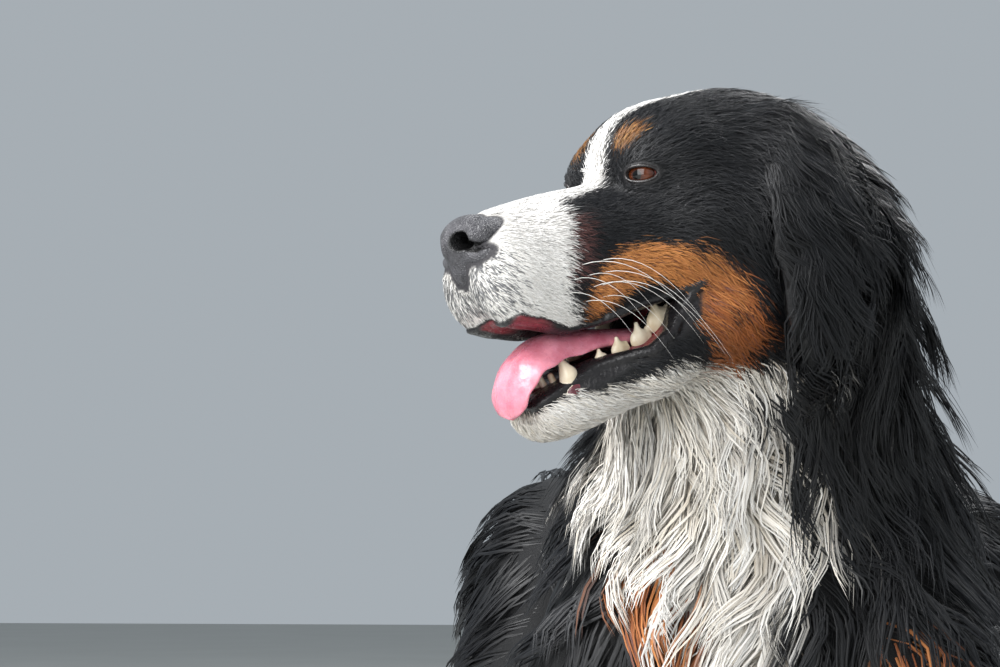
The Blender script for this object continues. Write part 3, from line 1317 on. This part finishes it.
# Teeth, gums and tongue
CANINE = [((0.0705, 0.0215, -0.115), 0.0054), ((0.0688, 0.0225, -0.104), 0.005),
          ((0.0728, 0.0232, -0.0932), 0.0011)]
# Cheek teeth: crown's centre and radii, then tip, radius below it and radius at the tip of each cusp
CROWNS = [
    ((0.0454, 0.0245, -0.101), (0.005, 0.003, 0.0046), [((0.0462, 0.0247, -0.0948), 0.0026, 0.0011)]),
    ((0.032, 0.0255, -0.098), (0.006, 0.0033, 0.0054),
     [((0.033, 0.0257, -0.0906), 0.003, 0.0012), ((0.0275, 0.0257, -0.0945), 0.0022, 0.0013)]),
    ((0.0175, 0.027, -0.095), (0.007, 0.0037, 0.0066),
     [((0.0182, 0.0272, -0.0853), 0.0034, 0.0013), ((0.0118, 0.0272, -0.0892), 0.0026, 0.0014)]),
    ((0.0015, 0.0285, -0.087), (0.0098, 0.0043, 0.0084),
     [((0.0042, 0.0288, -0.0738), 0.0044, 0.0013), ((-0.0045, 0.0288, -0.0795), 0.0038, 0.0016)]),
    ((-0.01, 0.0295, -0.0845), (0.005, 0.004, 0.006), [((-0.01, 0.0295, -0.077), 0.003, 0.0016)]),
]
INCISOR_FRONT = 0.0775
INCISOR_PITCH = 0.0052
TOOTH_CELL = 0.0007 * FINE
GUM_PATH = [((0.08, 0.004, -0.114), 0.005), ((0.076, 0.014, -0.1145), 0.0055),
            ((0.068, 0.021, -0.1145), 0.0068), ((0.05, 0.0235, -0.1065), 0.0055),
            ((0.024, 0.026, -0.1045), 0.0062), ((0.002, 0.029, -0.0985), 0.0068),
            ((-0.011, 0.031, -0.088), 0.006)]
GUM_CELL = 0.0011 * FINE


def moulded(name, masses, low, high, cell, reach):
    """A piece of the head drawn round masses in the head's frame."""
    points, quads = filled(Grid(low, high, cell), masses, reach).skin()
    return mesh_object(name, to_world(points), quads)


def build_teeth():
    masses = chain("face", CANINE, 0.002)
    for centre, radii, cusps in CROWNS:
        masses.append(ball("face", centre, radii, blend=0.0015))
        for tip, below, end in cusps:
            masses.append(limb("face", (*tip[:2], centre[2]), tip, below, end, blend=0.0015))
    for number in range(3):
        y = INCISOR_PITCH * (number + 0.5)
        x = INCISOR_FRONT - 0.0014 * number ** 2
        masses.append(limb("face", (x, y, -0.113), (x + 0.003, y, -0.103), 0.0026, 0.0019, blend=0.0006))
    obj = moulded("teeth", both_sides(masses), (-0.014, -0.04, -0.116), (0.088, 0.04, -0.072), TOOTH_CELL,
                  0.004)
    finish_piece(obj, MATERIALS["tooth"], "tooth")


def build_gums():
    (x, y, z), radius = GUM_PATH[0]
    front = chain("face", [((x, -y, z), radius), ((x, y, z), radius)], 0.003)
    obj = moulded("gums", both_sides(chain("face", GUM_PATH, 0.003)) + front, (-0.022, -0.044, -0.126),
                  (0.092, 0.044, -0.076), GUM_CELL, 0.006)
    finish_piece(obj, MATERIALS["gum"], "gum")


# Tongue: centre, half width, half thickness and droop of its edges, from root to tip
TONGUE = [
    ((-0.004, 0.0, -0.096), 0.02, 0.006, 0.0),
    ((0.028, 0.0, -0.0915), 0.0235, 0.0065, 0.001),
    ((0.054, 0.002, -0.0885), 0.0255, 0.0055, 0.005),
    ((0.074, 0.003, -0.0885), 0.0265, 0.0045, 0.006),
    ((0.089, 0.003, -0.0945), 0.0265, 0.0038, 0.004),
    ((0.0985, 0.004, -0.105), 0.0235, 0.0034, 0.002),
    ((0.103, 0.006, -0.1155), 0.018, 0.003, 0.001),
    ((0.1035, 0.008, -0.1215), 0.009, 0.0022, 0.0),
]
TONGUE_POINTS = 32
TONGUE_ROWS = 44
GROOVE = 0.0016


def build_tongue():
    given = np.array([(*centre, width, thick, droop) for centre, width, thick, droop in TONGUE])
    share = np.linspace(0, len(TONGUE) - 1, TONGUE_ROWS)
    rows = np.stack([np.interp(share, np.arange(len(TONGUE)), column) for column in given.T], axis=1)
    for _ in range(3):
        rows[1:-1] = (rows[:-2] + 2 * rows[1:-1] + rows[2:]) / 4
    rows[-3:, 3] *= (0.95, 0.8, 0.45)
    centre = rows[:, :3]
    width, thick, droop = rows[:, 3:].T[:, :, None]
    along = unit(np.gradient(centre, axis=0))
    across = np.array((0.0, 1.0, 0.0))
    over = np.cross(along, across)
    angle = 2 * math.pi * np.arange(TONGUE_POINTS) / TONGUE_POINTS
    side = np.cos(angle)
    wavy = 0.0006 * np.sin(np.arange(TONGUE_ROWS) * 0.8)[:, None] * np.abs(side) ** 4
    lift = thick * np.sin(angle) - 2 * droop * (side ** 2 - 0.5) + wavy
    lift = lift - GROOVE * np.exp(-(side / 0.16) ** 2) * np.maximum(np.sin(angle), 0)
    rings = centre[:, None] + across * (width * side)[..., None] + over[:, None] * lift[..., None]
    points, faces = ringed(rings, np.stack((centre[0], centre[-1] + along[-1] * 0.0012)))
    obj = mesh_object("tongue", to_world(points), faces)
    finish_piece(obj, MATERIALS["tongue"], "tongue", "tongue")


# Claws and whiskers
CLAW_LENGTH = 0.021
CLAW_RADIUS = 0.0046
CLAW_DROP = 0.011
CLAW_FORWARD = 0.01
CLAW_HEIGHT = 0.018
CLAW_ROWS = 9


def build_claws():
    share = np.linspace(0, 1, CLAW_ROWS)[:, None]
    curve = np.hstack((CLAW_LENGTH * share, 0 * share, -CLAW_DROP * share ** 1.6))
    radii = CLAW_RADIUS * np.sqrt(1 - 0.94 * share[:, 0])
    for paw, front in zip(("fore", "hind"), PAW_FRONTS):
        for side, sign in SIDES:
            for number, (x, y, _) in enumerate(toe_centres(front)):
                base = swung((x + CLAW_FORWARD, sign * y, CLAW_HEIGHT))
                obj = mesh_object(f"claw_{paw}_{side}_{number + 1}", *tube(base + curve, radii, 12))
                finish_piece(obj, MATERIALS["claw"], "claw")


# Rows of whiskers: height on the muzzle and how many
WHISKER_ROWS = ((-0.044, 2), (-0.051, 3), (-0.058, 3), (-0.065, 2))
WHISKER_RADIUS = 0.00022
BROW_HAIRS = 4
BROW_HAIR_LENGTH = 0.017


def surface_point(inside, way):
    """Where a line from inside the head comes out, in the head's frame."""
    line = inside + unit(way) * np.linspace(0, 0.06, 121)[:, None]
    outside = np.flatnonzero(union(HEAD, to_world(line)) > 0)
    return line[outside[0]] if len(outside) else inside


def whisker(start, length, way, bend, count):
    """Points and faces of a stiff hair that bends towards its tip."""
    share = np.linspace(0, 1, count)[:, None]
    path = start + length * (unit(np.array(way)) * share + np.array(bend) * share ** 2)
    return tube(to_world(path), WHISKER_RADIUS * (1 - 0.85 * share[:, 0]), 5)


def build_whiskers():
    made = []
    for side, sign in SIDES:
        for z, count in WHISKER_ROWS:
            for number in range(count):
                x = 0.04 + 0.03 * (number + dice.random() * 0.6) / count
                start = surface_point(np.array((x, sign * 0.02, z)), np.array((0.0, sign, 0.0)))
                length = dice.uniform(0.035, 0.075)
                way = (-0.8, sign * dice.uniform(0.35, 0.65), dice.uniform(-0.1, 0.2))
                made.append(whisker(start, length, way, (0.12, -0.15 * sign, -0.85), 12))
        for number in range(BROW_HAIRS):
            inside = np.array((-0.011 - 0.003 * number, sign * 0.02, 0.012))
            start = surface_point(inside, np.array((0.0, 0.6 * sign, 0.5)))
            way = (-0.35, sign * 0.75, -0.15)
            made.append(whisker(start, BROW_HAIR_LENGTH, way, (-0.15, 0, -0.65), 10))
    finish_piece(mesh_object("whiskers", *merged(*made)), MATERIALS["whisker"], "coat")


# Stage, light and camera
FLOOR_REACH = 9.0
SKY = (0.8, 0.88, 0.95, 1)
SKY_STRENGTH = 0.48
LIGHTS = {
    "key": ((1.0, -1.5, 2.1), 1.4, 95),
    "catch": ((2.45, -0.85, 0.98), 1.9, 56),
    "fill": ((2.4, 1.8, 0.9), 2.4, 8),
    "back": ((-1.0, 0.9, 2.1), 1.2, 60),
}
LIGHTS_AIM = Vector((0.15, 0, 0.3))


def aimed(obj, place, way):
    obj.location = place
    obj.rotation_euler = way.to_track_quat("-Z", "Y").to_euler()


def build_stage():
    corners = [(x * FLOOR_REACH, y * FLOOR_REACH, 0) for x, y in ((-1, -1), (1, -1), (1, 1), (-1, 1))]
    floor = mesh_object("floor", corners, np.array([(0, 1, 2, 3)]))
    made = Nodes("floor")
    grain = made.noise(3.0, 4.0)
    made.feed("Base Color", made.ramp(grain, ((0.3, (0.4, 0.41, 0.395)), (0.7, (0.44, 0.45, 0.435)))))
    made.feed("Roughness", made.scaled(grain, 0.7, 0.85))
    floor.data.materials.append(made.material)
    world = bpy.data.worlds.new("sky")
    bpy.context.scene.world = world
    world.use_nodes = True
    sky = world.node_tree.nodes["Background"].inputs
    sky["Color"].default_value = SKY
    sky["Strength"].default_value = SKY_STRENGTH
    for name, (place, size, power) in LIGHTS.items():
        light = bpy.data.lights.new(name, "AREA")
        light.size = size
        light.energy = power
        aimed(placed(name, light), place, LIGHTS_AIM - Vector(place))


CAMERA_PLACE = Vector((1.7216, 0.1037, 0.2546))
CAMERA_HEADING = math.radians(10)
CAMERA_RISE = math.radians(5.7)


def build_camera():
    camera = bpy.data.cameras.new("camera")
    camera.lens = 85
    camera.sensor_width = 36
    obj = placed("camera", camera)
    back = Vector((math.cos(CAMERA_HEADING), math.sin(CAMERA_HEADING), 0))
    aimed(obj, CAMERA_PLACE, -back * math.cos(CAMERA_RISE) + Vector((0, 0, math.sin(CAMERA_RISE))))
    bpy.context.scene.camera = obj
    bpy.context.scene.view_settings.view_transform = "Standard"


def main():
    skin, points, quads = build_skin()
    build_nose()
    for side, sign in SIDES:
        build_eye(side, sign)
        build_lid(side, sign)
    build_teeth()
    build_gums()
    build_tongue()
    build_claws()
    build_whiskers()
    grow_coat(skin, points, quads, body_grid(ALL, COAT_CELL, COAT_REACH))
    build_stage()
    build_camera()


main()
